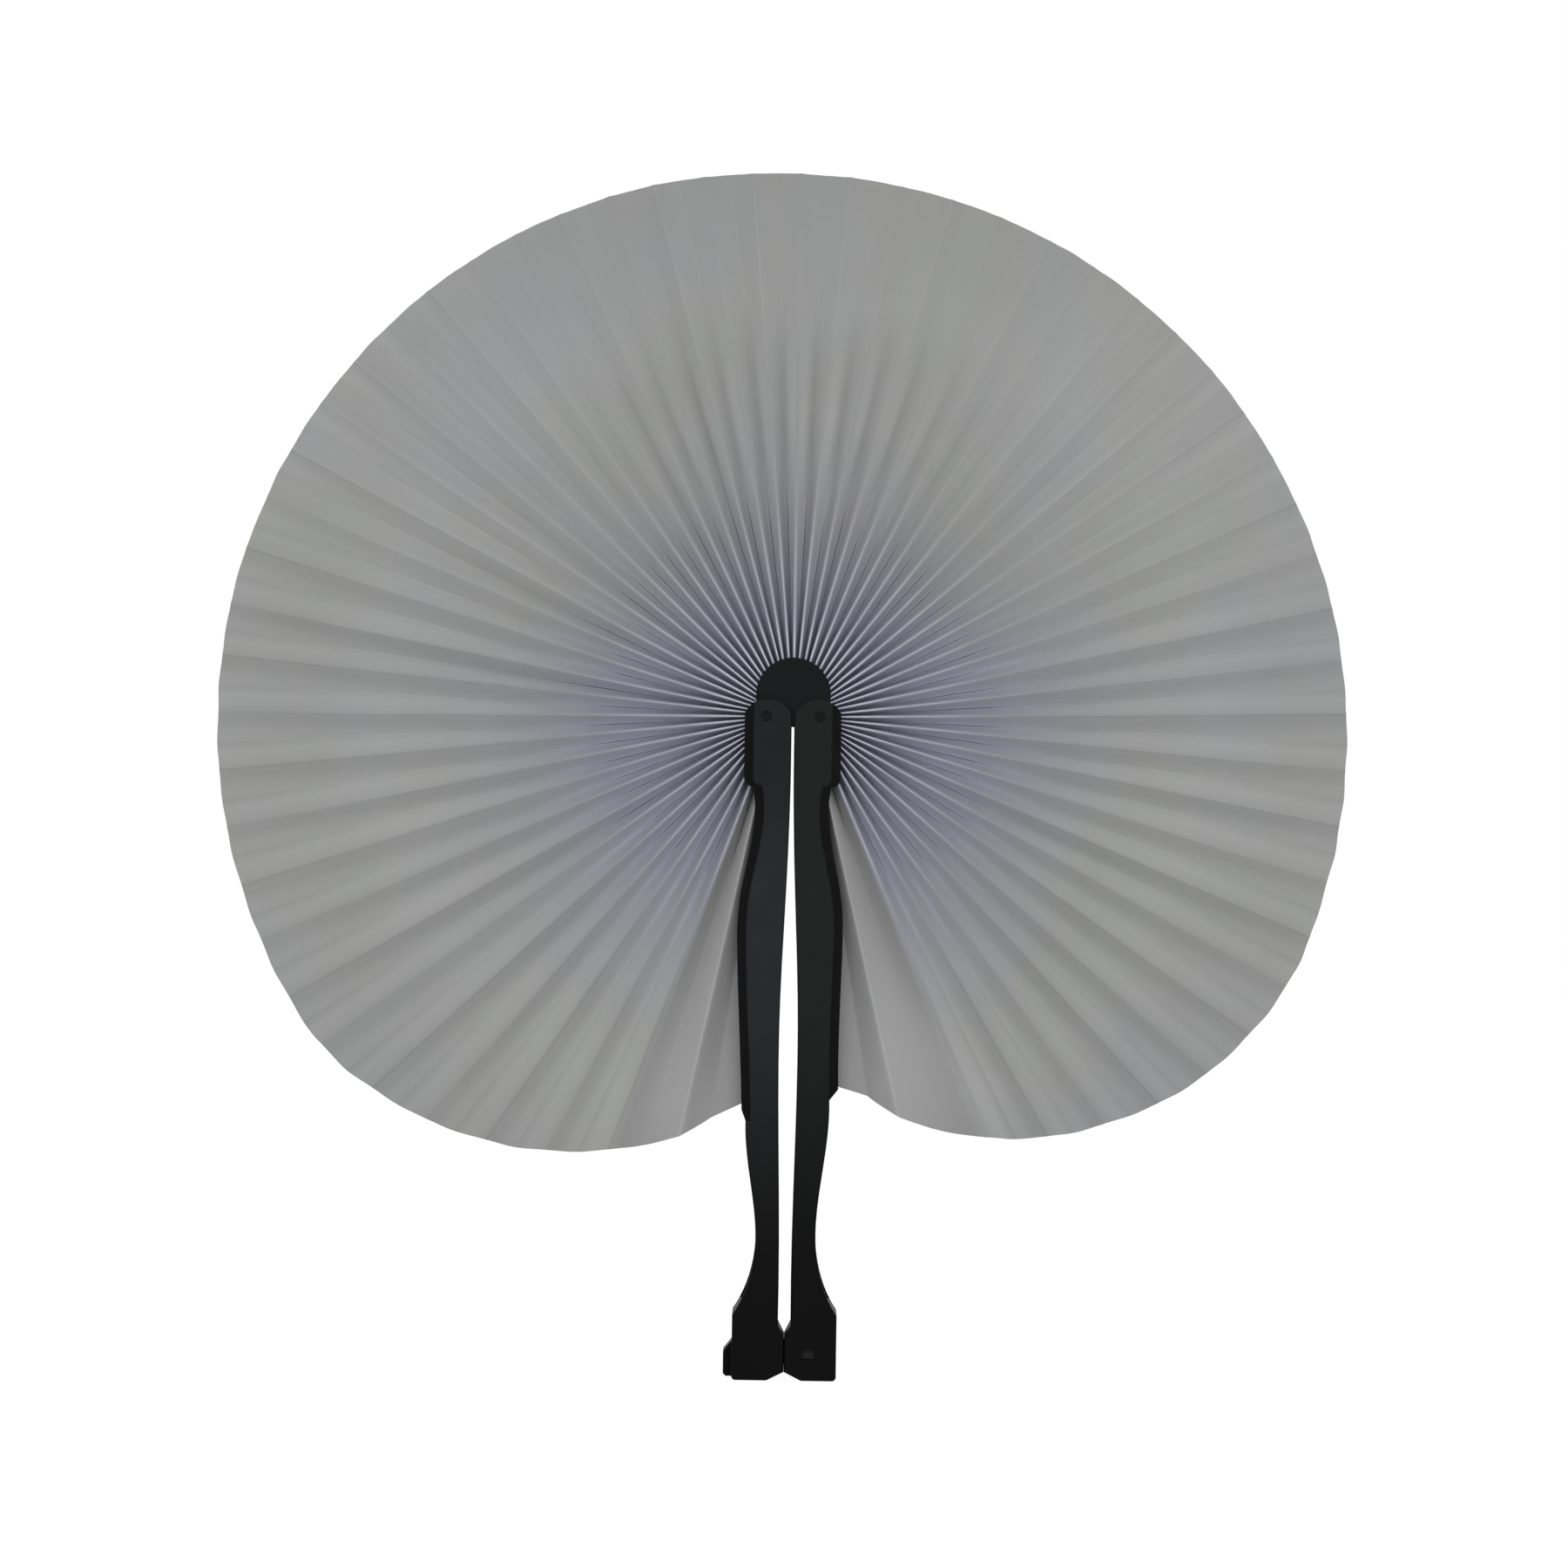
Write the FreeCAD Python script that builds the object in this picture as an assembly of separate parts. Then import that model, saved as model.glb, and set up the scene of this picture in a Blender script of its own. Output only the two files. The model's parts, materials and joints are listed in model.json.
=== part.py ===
import FreeCAD, Part
import math
import os

os.makedirs("parts", exist_ok=True)
V = FreeCAD.Vector

# A round folding hand fan, open. All sizes are in millimetres and all angles in degrees.
# Z runs up the handle, the front of the leaf faces -Y, and the origin is the middle of the grip.
# The pieces are drawn round the middle of the hub and lifted to their place when they are saved.

# Height of the hub above the middle of the grip
hub_height = 107.0

# Pleated paper leaf
paper_thickness = 0.15
panel_width = 6.4
least_depth = 1.2
pleats_per_section = 2
crease_shift = 3.8
section_gap = 0.1
glued_edge_gap = 0.2
left_glued_edge_margin = 4.0
right_glued_edge_margin = 2.4
end_valley_rise = 2.0
lobe_start_angle = 110.0
radial_stations = (0.0, 0.12, 0.35, 0.7, 1.0)

# Crests of the pleats on each side, from the one at the top. They widen slowly towards the arms,
# and the last one stands further off.
left_crests = 29
left_pitch_angle = 5.1
left_even_end_angle = 159.8
left_last_crest_angle = 167.6
right_crests = 28
right_pitch_angle = 5.45
right_even_end_angle = 156.0
right_last_crest_angle = 166.5
end_valley_angle = 4.0

# Rim of the leaf: one arc round the top and the side, and a tighter arc for the lower lobe
rim_radius = 122.3
right_rim_growth = 2.4
left_rim_centre = (-5.3, -1.85)
left_lobe_radius = 79.2
left_lobe_centre = (-47.9, -17.9)
right_rim_side = -1.9
right_lobe_radius = 71.4
right_lobe_centre = (48.9, -21.3)

# Hub of two plates on two pivot pins
plate_thickness = 1.2
leaf_clearance = 0.2
plate_rim = 1.2
dome_height = 4.8
plate_drop_inset = 6.0
plate_corner = 2.0
plate_edge_round = 0.5
boss_radius = 2.4
boss_level = 1.6
peg_radius = 1.0
peg_length = 2.5
peg_clearance = 0.05
pin_radius = 1.15
pin_press_clearance = 0.01
pin_running_clearance = 0.05
pin_recess = 0.4
thread_clearance = 0.3
thread_radius = 0.25
thread_gap = 0.2

# Arms: half cases that close over the folded leaf
wall_thickness = 1.2
ear_clearance = 0.15
web_thickness = 1.4
arm_gap = 0.6
closed_gap = 0.4
blade_half_width = 11.5
shoulder_inset = 0.3
left_blade_end_inset = 1.4
right_blade_end_inset = 0.4
waist_inset = 2.5
stem_top_half_width = 9.2
stem_middle_half_width = 7.9
stem_half_width = 6.65
lug_reach = 4.75
lug_top = 3.9
lug_shoulder = 0.7
lug_bottom = 15.5
lug_corner = 2.0
waist_drop = 6.0
shoulder_level = 40.5
blade_level = 54.0
left_blade_end_level = 86.5
right_blade_end_level = 81.8
stem_top_drop = 2.4
flare_half_width = 8.8
foot_bottom = 145.9
foot_corner = 0.9
toe_gap = 0.03
toe_bevel_width = 3.8
toe_bevel_height = 1.9
upper_gap_level = 34.0
upper_half_gap = 0.8
handle_gap_level = 66.0
handle_half_gap = 2.0
grip_half_gap = 1.4
web_clearance = 1.2
lip_width = 1.8
lip_step = 0.5
arm_edge_round = 0.45
edge_land = 0.05

# Heights of the stem's and foot's features above the sole
stem_rise = 29.9
flare_rise = 19.4
channel_end_rise = 16.9
foot_rise = 14.3
gap_end_rise = 11.9
toe_rise = 9.1

# Latch between the feet, and the tab that keeps the closed case shut
tongue_half_thickness = 4.2
tongue_rise = 3.3
tongue_height = 4.4
latch_clearance = 0.8
latch_wall = 1.5
window_inset = 0.4
window_length = 2.9
window_rise = 4.7
window_height = 2.2
tab_reach = 1.9
tab_half_thickness = 2.5
tab_rise = 0.4
tab_height = 5.5
tab_slope = 2.4
tab_corner = 0.6
tab_clearance = 0.5

# Tolerance for finding a face by its place
same_place = 1e-6

# Levels through the thickness follow from the sizes above
plate_inner = panel_width / 2 + leaf_clearance
plate_outer = plate_inner + plate_thickness
channel_half = plate_outer + ear_clearance
arm_half = channel_half + wall_thickness

# The right half of the rim has its own arc, which meets the left one at the top
right_rim_radius = rim_radius + right_rim_growth
rim_top = left_rim_centre[1] + math.sqrt(rim_radius**2 - left_rim_centre[0] ** 2)
right_rim_centre = (right_rim_side, rim_top - math.sqrt(right_rim_radius**2 - right_rim_side**2))

# Pivots and what goes round them: closed, the two blades meet edge to edge
pivot_x = (blade_half_width + closed_gap / 2) / 2
thread_ring = pivot_x + pin_radius + thread_clearance + thread_radius
leaf_inner_edge = thread_ring + thread_radius + thread_gap
dome_radius = pivot_x + pin_radius + plate_rim
plate_drop = dome_radius - plate_drop_inset
web_top = math.hypot(pivot_x, dome_height) + dome_radius + web_clearance

# Widths and levels of the arms
lug_half_width = pivot_x + lug_reach
foot_half_width = blade_half_width
waist_half_width = lug_half_width - waist_inset
shoulder_half_width = blade_half_width - shoulder_inset
waist_level = lug_bottom + waist_drop
stem_level = foot_bottom - stem_rise
flare_level = foot_bottom - flare_rise
channel_end = foot_bottom - channel_end_rise
foot_level = foot_bottom - foot_rise
gap_end_level = foot_bottom - gap_end_rise
toe_level = foot_bottom - toe_rise
edge_round = min(arm_edge_round, lip_step - edge_land)

# Latch, tab and their pockets
tongue_bottom = foot_bottom - tongue_rise
tongue_top = tongue_bottom - tongue_height
tab_bottom = foot_bottom - tab_rise
tab_top = tab_bottom - tab_height
tab_pocket_depth = tab_reach - closed_gap + tab_clearance
tongue_length = foot_half_width - tab_pocket_depth - latch_wall - latch_clearance
window_end = tongue_length - window_inset
window_start = window_end - window_length
window_bottom = foot_bottom - window_rise
window_top = window_bottom - window_height

SIDES = {
    "left": {
        "sign": -1,
        "crests": left_crests,
        "pitch": left_pitch_angle,
        "pitch_beyond": right_pitch_angle,
        "even_end": left_even_end_angle,
        "last": left_last_crest_angle,
        "rim": (left_rim_centre, rim_radius),
        "lobe": (left_lobe_centre, left_lobe_radius),
        "blade_end": (blade_half_width - left_blade_end_inset, -left_blade_end_level),
        "glued_end": left_glued_edge_margin - left_blade_end_level,
    },
    "right": {
        "sign": 1,
        "crests": right_crests,
        "pitch": right_pitch_angle,
        "pitch_beyond": left_pitch_angle,
        "even_end": right_even_end_angle,
        "last": right_last_crest_angle,
        "rim": (right_rim_centre, right_rim_radius),
        "lobe": (right_lobe_centre, right_lobe_radius),
        "blade_end": (blade_half_width - right_blade_end_inset, -right_blade_end_level),
        "glued_end": right_glued_edge_margin - right_blade_end_level,
    },
}


def flat(x, z):
    """A point in the middle plane of the fan."""
    return V(x, 0, z)


def line(a, b):
    return Part.makeLine(flat(*a), flat(*b))


def arc(a, middle, b):
    return Part.Arc(flat(*a), flat(*middle), flat(*b)).toShape()


def curve(points):
    """A smooth curve through points of the middle plane."""
    spline = Part.BSplineCurve()
    spline.interpolate([flat(*p) for p in points])
    return spline.toShape()


def corner_arc(before, corner, after):
    """A quarter round that leaves before and reaches after, cut at a square corner."""
    centre = (before[0] + after[0] - corner[0], before[1] + after[1] - corner[1])
    half = math.sqrt(0.5)
    middle = tuple(c + (k - c) * half for c, k in zip(centre, corner))
    return arc(before, middle, after)


def slab(edges, front, back):
    """The area inside closed edges of the middle plane, from y = front to y = back."""
    face = Part.Face(Part.Wire(Part.__sortEdges__(edges)))
    face.translate(V(0, front, 0))
    return face.extrude(V(0, back - front, 0))


def polygon(points):
    """The straight edges of a closed outline."""
    return [line(a, b) for a, b in zip(points, points[1:] + points[:1])]


def block(low, high):
    size = high.sub(low)
    return Part.makeBox(size.x, size.y, size.z, low)


def round_bar(radius, x, z, front, back):
    return Part.makeCylinder(radius, back - front, V(x, front, z), V(0, 1, 0))


def mirrored(shape):
    """The same shape on the other side of the fan."""
    return shape.mirror(V(0, 0, 0), V(1, 0, 0))


def save(name, shape):
    shape.translate(V(0, 0, hub_height))
    shape.exportStep("parts/" + name + ".step")


# Leaf
def crease_angle(side, crest):
    """The direction of a crease from straight up. Whole numbers are crests and halves are valleys."""
    even_crests = side["crests"] - 1
    growth = (side["even_end"] - side["pitch"] * even_crests) / even_crests**3
    if crest < 0:
        angle = side["pitch_beyond"] * crest
    elif crest <= even_crests:
        angle = side["pitch"] * crest + growth * crest**3
    elif crest <= side["crests"]:
        angle = side["even_end"] + (side["last"] - side["even_end"]) * (crest - even_crests)
    else:
        angle = side["last"] + 2 * end_valley_angle * (crest - side["crests"])
    return math.radians(angle)


def ray_to_arc(start, direction, arc_shape):
    """How far a ray from start runs to a rim arc that lies round it."""
    (cx, cz), radius = arc_shape
    mx = start[0] - cx
    mz = start[1] - cz
    along = mx * direction[0] + mz * direction[1]
    return -along + math.sqrt(along**2 - mx**2 - mz**2 + radius**2)


def crease(side, crest):
    """Where a crease's line starts, its direction and how far it runs to the rim."""
    angle = crease_angle(side, crest)
    start = (side["sign"] * crease_shift * (1 - math.cos(angle)) / 2, 0.0)
    direction = (side["sign"] * math.sin(angle), math.cos(angle))
    reach = ray_to_arc(start, direction, side["rim"])
    if math.degrees(angle) > lobe_start_angle:
        reach = min(reach, ray_to_arc(start, direction, side["lobe"]))
    if crest > side["crests"]:
        reach -= end_valley_rise
    return start, direction, reach


def depth(half_pitch):
    """The leaf's depth where panels of one width are spread to this half pitch."""
    return math.sqrt(max(panel_width**2 - half_pitch**2, least_depth**2))


def crease_points(side, crest, station, shift):
    """The front and back points of a crease at one station, moved sideways along the leaf by shift."""
    start, direction, reach = crease(side, crest)
    along = leaf_inner_edge + station * (reach - leaf_inner_edge)
    across = (side["sign"] * direction[1], -side["sign"] * direction[0])
    x = start[0] + along * direction[0] + shift * across[0]
    z = start[1] + along * direction[1] + shift * across[1]
    half_pitch = along * (crease_angle(side, crest + 0.5) - crease_angle(side, crest - 0.5)) / 2
    half_depth = depth(half_pitch) / 2
    skin = paper_thickness / 2 * math.hypot(1, 2 * half_depth / half_pitch)
    fold = half_depth - skin
    if float(crest).is_integer():
        fold = -fold
    return V(x, fold - skin, z), V(x, fold + skin, z)


def sheet_solid(rows):
    """A closed sheet from rows of (front, back) points, one row for each crease."""
    faces = []
    for row, after in zip(rows, rows[1:]):
        for layer in (0, 1):
            for i in range(len(row) - 1):
                near = Part.makeLine(row[i][layer], row[i + 1][layer])
                far = Part.makeLine(after[i][layer], after[i + 1][layer])
                faces.append(Part.makeRuledSurface(near, far))
        for i in (0, -1):
            corners = [row[i][0], after[i][0], after[i][1], row[i][1]]
            faces.append(Part.Face(Part.makePolygon(corners + corners[:1])))
    for row in (rows[0], rows[-1]):
        corners = [front for front, back in row] + [back for front, back in reversed(row)]
        faces.append(Part.Face(Part.makePolygon(corners + corners[:1])))
    shell = Part.makeShell(faces)
    shell.sewShape()
    solid = Part.makeSolid(shell)
    if solid.Volume < 0:
        solid.reverse()
    return solid


def crease_row(side, crest, shift=0.0):
    return [crease_points(side, crest, station, shift) for station in radial_stations]


def leaf_section(side, first):
    """The pleats from crest number first to the next section's first crest."""
    rows = []
    for half in range(2 * pleats_per_section + 1):
        shift = 0.0
        if half == 0:
            shift = section_gap / 2
        if half == 2 * pleats_per_section:
            shift = -section_gap / 2
        rows.append(crease_row(side, first + half / 2, shift))
    return sheet_solid(rows)


def leaf_end(side, first):
    """The last pleats and the panel that runs into the arm's channel, glued along its web."""
    rows = [crease_row(side, first, section_gap / 2)]
    crest = first + 0.5
    while crest <= side["crests"] + 0.5:
        rows.append(crease_row(side, crest))
        crest += 0.5
    x = side["sign"] * (handle_half_gap + web_thickness + glued_edge_gap)
    half = paper_thickness / 2
    length = -leaf_inner_edge - side["glued_end"]
    glued = []
    for station in radial_stations:
        z = -leaf_inner_edge - station * length
        glued.append((V(x, -half, z), V(x, half, z)))
    return sheet_solid(rows + [glued])


# Hub
def plate_outline():
    """A dome over a block with round lower corners, which covers both pivots."""
    side = dome_radius
    low = -plate_drop
    return [
        arc((side, dome_height), (0, dome_height + side), (-side, dome_height)),
        line((-side, dome_height), (-side, low + plate_corner)),
        corner_arc((-side, low + plate_corner), (-side, low), (plate_corner - side, low)),
        line((plate_corner - side, low), (side - plate_corner, low)),
        corner_arc((side - plate_corner, low), (side, low), (side, low + plate_corner)),
        line((side, low + plate_corner), (side, dome_height)),
    ]


def outer_edges(solid, level):
    """The edges of a solid that lie in the plane y = level and aren't holes."""
    found = []
    for face in solid.Faces:
        box = face.BoundBox
        if box.YLength < same_place and abs(box.YMin - level) < same_place:
            found += face.OuterWire.Edges
    return found


def hub_plate(turn):
    """One plate. The front one (turn -1) carries the peg and the back one (turn 1) its socket."""
    levels = sorted((turn * plate_inner, turn * plate_outer))
    plate = slab(plate_outline(), *levels)
    plate = plate.makeFillet(plate_edge_round, outer_edges(plate, turn * plate_outer))
    boss_levels = sorted((0.0, turn * plate_inner))
    plate = plate.fuse(round_bar(boss_radius, 0, boss_level, *boss_levels))
    if turn < 0:
        plate = plate.fuse(round_bar(peg_radius, 0, boss_level, -plate_inner, peg_length))
    else:
        socket = peg_radius + peg_clearance
        plate = plate.cut(round_bar(socket, 0, boss_level, -peg_length, peg_length + peg_clearance))
    for x in (-pivot_x, pivot_x):
        hole = pin_radius + pin_press_clearance
        plate = plate.cut(round_bar(hole, x, 0, -arm_half, arm_half))
    return plate.removeSplitter()


def pivot_pin(x):
    end = arm_half - pin_recess
    return round_bar(pin_radius, x, 0, -end, end)


def binding_thread():
    """The loop of thread at the pleats' inner ends, outside the pins."""
    return Part.makeTorus(thread_ring, thread_radius, V(0, 0, 0), V(0, 1, 0))


# Arms, drawn as the right one
def inner_edge_points(offset):
    """The edge that faces the other arm, moved outwards by offset."""
    return [
        (arm_gap / 2 + offset, -lug_bottom / 2),
        (upper_half_gap + offset, -upper_gap_level),
        (handle_half_gap + offset, -handle_gap_level),
        (grip_half_gap + offset, -stem_level),
        (grip_half_gap + offset, -gap_end_level),
    ]


def blade_points(blade_end, offset):
    """The outer edge from the lug's lower corner to the blade's end point, moved inwards by offset."""
    return [
        (lug_half_width - lug_corner - offset, -lug_bottom),
        (waist_half_width - offset, -waist_level),
        (shoulder_half_width - offset, -shoulder_level),
        (blade_half_width - offset, -blade_level),
        (blade_end[0] - offset, blade_end[1]),
    ]


def arm_outline(blade_end):
    inner = inner_edge_points(0)
    inside = inner[0][0]
    toe = toe_gap / 2
    blade = blade_points(blade_end, 0)
    stem_top = blade_end[1] - stem_top_drop
    stem = [
        (stem_top_half_width, stem_top),
        (stem_middle_half_width, (stem_top - stem_level) / 2),
        (stem_half_width, -stem_level),
        (flare_half_width, -flare_level),
        (foot_half_width, -foot_level),
    ]
    lug_side = (lug_half_width, lug_corner - lug_bottom)
    foot_side = (foot_half_width, foot_corner - foot_bottom)
    sole = (foot_half_width - foot_corner, -foot_bottom)
    return [
        arc((inside, lug_shoulder), (pivot_x, lug_top), (lug_half_width, lug_shoulder)),
        line((lug_half_width, lug_shoulder), lug_side),
        corner_arc(lug_side, (lug_half_width, -lug_bottom), blade[0]),
        curve(blade),
        line(blade[-1], stem[0]),
        curve(stem),
        line(stem[-1], foot_side),
        corner_arc(foot_side, (foot_half_width, -foot_bottom), sole),
        line(sole, (toe_bevel_width, -foot_bottom)),
        line((toe_bevel_width, -foot_bottom), (toe, toe_bevel_height - foot_bottom)),
        line((toe, toe_bevel_height - foot_bottom), (toe, -toe_level)),
        line((toe, -toe_level), inner[-1]),
        curve(inner),
        line(inner[0], (inside, lug_shoulder)),
    ]


def channel():
    """The room for the leaf between the walls, open outwards, with no web beside the hub."""
    beyond = 2 * blade_half_width
    web = inner_edge_points(web_thickness)
    far_top = (beyond, web[0][1])
    far_end = (beyond, web[-1][1])
    edges = [curve(web), line(web[-1], far_end), line(far_end, far_top), line(far_top, web[0])]
    room = slab(edges, -channel_half, channel_half)
    foot = block(V(0, -arm_half, -foot_bottom), V(2 * beyond, arm_half, -channel_end))
    beside_hub = block(V(-arm_gap, -channel_half, -web_top), V(beyond, channel_half, 2 * lug_top))
    return room.cut(foot).fuse(beside_hub)


def rebate(blade_end, turn):
    """The step along the outer edge of lug and blade, on the front (turn -1) or the back (turn 1)."""
    beyond = 2 * blade_half_width
    above = 2 * lug_top
    lug_line = lug_half_width - lip_width
    edge = blade_points(blade_end, lip_width)
    low = blade_end[1] - stem_top_drop
    lug_side = (lug_line, lug_corner - lug_bottom)
    outline = [
        line((beyond, above), (lug_line, above)),
        line((lug_line, above), lug_side),
        corner_arc(lug_side, (lug_line, -lug_bottom), edge[0]),
        curve(edge),
        line(edge[-1], (edge[-1][0], low)),
        line((edge[-1][0], low), (beyond, low)),
        line((beyond, low), (beyond, above)),
    ]
    levels = sorted((turn * (arm_half - lip_step), turn * (arm_half + lip_step)))
    return slab(outline, *levels)


def arm_body(blade_end):
    arm = slab(arm_outline(blade_end), -arm_half, arm_half)
    for turn in (-1, 1):
        arm = arm.cut(rebate(blade_end, turn))
    edges = outer_edges(arm, -arm_half) + outer_edges(arm, arm_half)
    arm = arm.makeFillet(edge_round, edges)
    arm = arm.cut(channel())
    hole = pin_radius + pin_running_clearance
    return arm.cut(round_bar(hole, pivot_x, 0, -2 * arm_half, 2 * arm_half))


def latch_tongue():
    """The tongue on the left foot's toe, which reaches into the right foot."""
    low = V(-toe_bevel_width, -tongue_half_thickness, -tongue_bottom)
    high = V(tongue_length, tongue_half_thickness, -tongue_top)
    return block(low, high)


def latch_pocket():
    """The tongue's room in the right foot, and the window in its front wall."""
    half = tongue_half_thickness + latch_clearance / 2
    low = V(-toe_bevel_width, -half, -tongue_bottom - latch_clearance)
    high = V(tongue_length + latch_clearance, half, latch_clearance - tongue_top)
    window_low = V(window_start, -2 * arm_half, -window_bottom)
    window_high = V(window_end, 0, -window_top)
    return block(low, high).fuse(block(window_low, window_high))


def closing_tab():
    """The tab on the left foot's outer side, which enters the right foot when the case is closed."""
    inside = tab_reach - foot_half_width
    tip = -tab_reach - foot_half_width
    shoulder = tab_slope - tab_top
    outline = [
        (inside, shoulder),
        (-foot_half_width, shoulder),
        (tip, -tab_top),
        (tip, tab_corner - tab_bottom),
        (tip + tab_corner, -tab_bottom),
        (inside, -tab_bottom),
    ]
    return slab(polygon(outline), -tab_half_thickness, tab_half_thickness)


def tab_pocket():
    """The closing tab's room in the right foot's outer side, open at the sole."""
    half = tab_half_thickness + tab_clearance
    low = V(foot_half_width - tab_pocket_depth, -half, -foot_bottom - tab_clearance)
    high = V(2 * foot_half_width, half, tab_slope + tab_clearance - tab_top)
    return block(low, high)


for name, side in SIDES.items():
    first = 0
    number = 1
    while first + pleats_per_section < side["crests"]:
        save("leaf_%s_%02d" % (name, number), leaf_section(side, first))
        first += pleats_per_section
        number += 1
    save("leaf_%s_end" % name, leaf_end(side, first))

save("hub_front_plate", hub_plate(-1))
save("hub_back_plate", hub_plate(1))
save("left_pivot_pin", pivot_pin(-pivot_x))
save("right_pivot_pin", pivot_pin(pivot_x))
save("binding_thread", binding_thread())
left_arm = mirrored(arm_body(SIDES["left"]["blade_end"]))
right_arm = arm_body(SIDES["right"]["blade_end"])
save("left_arm", left_arm.fuse(latch_tongue()).fuse(closing_tab()).removeSplitter())
save("right_arm", right_arm.cut(latch_pocket()).cut(tab_pocket()))
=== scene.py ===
# Looks of a round folding hand fan: a pleated paper leaf on a black hub, and two arms as handle and case
import json
import math
import random

import bmesh
import bpy
from mathutils import Matrix, Vector


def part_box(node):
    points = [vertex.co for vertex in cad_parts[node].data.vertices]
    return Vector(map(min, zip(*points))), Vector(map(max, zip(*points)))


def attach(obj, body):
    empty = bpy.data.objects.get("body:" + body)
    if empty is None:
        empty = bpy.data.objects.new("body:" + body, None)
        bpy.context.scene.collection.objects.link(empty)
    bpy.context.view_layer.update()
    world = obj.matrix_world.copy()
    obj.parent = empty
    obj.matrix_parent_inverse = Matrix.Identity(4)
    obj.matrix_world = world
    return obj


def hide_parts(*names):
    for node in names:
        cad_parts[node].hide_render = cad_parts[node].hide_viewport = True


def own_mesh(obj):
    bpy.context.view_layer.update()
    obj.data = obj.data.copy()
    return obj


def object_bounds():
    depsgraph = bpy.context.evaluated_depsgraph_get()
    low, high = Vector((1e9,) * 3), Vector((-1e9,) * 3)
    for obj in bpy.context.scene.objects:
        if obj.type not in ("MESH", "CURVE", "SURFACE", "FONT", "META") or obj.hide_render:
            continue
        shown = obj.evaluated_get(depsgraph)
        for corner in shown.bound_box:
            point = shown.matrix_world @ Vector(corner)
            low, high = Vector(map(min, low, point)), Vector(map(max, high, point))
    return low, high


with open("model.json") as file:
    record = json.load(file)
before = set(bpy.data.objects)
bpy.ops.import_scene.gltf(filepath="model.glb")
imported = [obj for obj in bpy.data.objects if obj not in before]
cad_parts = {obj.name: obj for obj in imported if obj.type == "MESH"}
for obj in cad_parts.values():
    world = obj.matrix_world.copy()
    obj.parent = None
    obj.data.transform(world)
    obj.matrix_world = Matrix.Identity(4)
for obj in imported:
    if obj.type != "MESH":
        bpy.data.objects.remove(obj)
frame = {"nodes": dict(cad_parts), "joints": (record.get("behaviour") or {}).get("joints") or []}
cad_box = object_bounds()

# The frame is in metres. The leaf is worked out in millimetres round the middle of the hub.
MM = 0.001
JOINTS = {joint["name"]: joint for joint in frame["joints"]}
LEFT_PIVOT = Vector(JOINTS["hub_swing"]["pos_m"])
RIGHT_PIVOT = Vector(JOINTS["right_arm_swing"]["pos_m"])
HUB = (LEFT_PIVOT + RIGHT_PIVOT) / 2
PIVOT_X = RIGHT_PIVOT.x / MM

# Leaf: one strip of paper in panels of one width, spread out round the hub
PAPER_THICKNESS = 0.12
PANEL_WIDTH = 6.4
LEAST_DEPTH = 1.2
INNER_EDGE = 8.0
CREASE_SHIFT = 3.8
CREASE_ROUND = 0.1
VALLEY_SOFTNESS = 0.55
END_VALLEY_STEP = 4.0
END_VALLEY_RISE = 2.0
LOBE_START_ANGLE = 110.0
PLEATS_PER_SECTION = 2
GLUED_EDGE_X = 3.6
SIDES = {
    "left": {
        "sign": -1,
        "crests": 29,
        "pitch": 5.1,
        "pitch_beyond": 5.45,
        "even_end": 159.8,
        "last": 167.6,
        "rim": ((-5.3, -1.85), 122.3),
        "lobe": ((-47.9, -17.9), 79.2),
        "glued_end": 82.5,
        "arm": "left_arm",
        "joint": "hub_swing",
    },
    "right": {
        "sign": 1,
        "crests": 28,
        "pitch": 5.45,
        "pitch_beyond": 5.1,
        "even_end": 156.0,
        "last": 166.5,
        "rim": ((-1.9, -4.35), 124.7),
        "lobe": ((48.9, -21.3), 71.4),
        "glued_end": 79.4,
        "arm": "right_arm",
        "joint": "right_arm_swing",
    },
}

# How finely a leaf section is cut from a square grid, and how unevenly the real paper was folded
GRID_HALF = 0.5
COLUMNS_PER_PANEL = 8
ROWS = 22
ROW_CROWDING = 1.25
CREASE_CROWDING = 0.9
UNEVEN_SEED = 7
UNEVEN_ANGLE = 0.22
UNEVEN_HUB_ANGLE = 0.7
UNEVEN_RIM = 0.2
CREST_TRIM = 0.4
UNEVEN_DEPTH = 0.08
GATHERED_REACH = 25.0
PANEL_BOW = 0.12

# Folded, the sections stand side by side from the arm's web to the middle of the case
STACK_FIRST = 4.4
STACK_LAST = 11.42

# Binding thread: plies laid round each other, just inside the pleats' inner ends
THREAD_REACH = 7.55
THREAD_PLIES = 2
THREAD_PLY_RADIUS = 0.13
THREAD_LAY = 0.12
THREAD_TURNS_PER_PLEAT = 0.45
THREAD_STEPS_PER_PLEAT = 8
THREAD_ROUND_STEPS = 10
THREAD_WELD = 0.001

# Paper grey with painted light from hub to rim; painted light and shade across a pleat, crest to valley, in
# three zones
PAPER_GREY_AND_PAINTED_LIGHT = ((0.06, 0.385), (0.2, 0.345), (0.36, 0.34), (0.55, 0.38), (0.75, 0.38), (0.97, 0.336))
HUB_FOLD_LIGHT_AND_SHADE = ((-1.0, 1.7), (-0.8, 1.3), (-0.5, 0.95), (0.0, 0.78), (1.0, 1.15))
MIDDLE_FOLD_LIGHT_AND_SHADE = ((-1.0, 1.22), (-0.8, 1.0), (-0.6, 0.88), (0.0, 1.05), (0.5, 1.3), (1.0, 1.95))
RIM_FOLD_LIGHT_AND_SHADE = ((-1.0, 1.0), (-0.5, 0.985), (0.0, 1.0), (0.5, 1.02), (1.0, 0.93))
TONE_RANGE = 2.0
MIDDLE_ZONE = (14, 26)
RIM_ZONE = (24, 66)
END_CREST = (-0.85, -1.0)
END_CREST_HIGHLIGHT = 1.12

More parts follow.
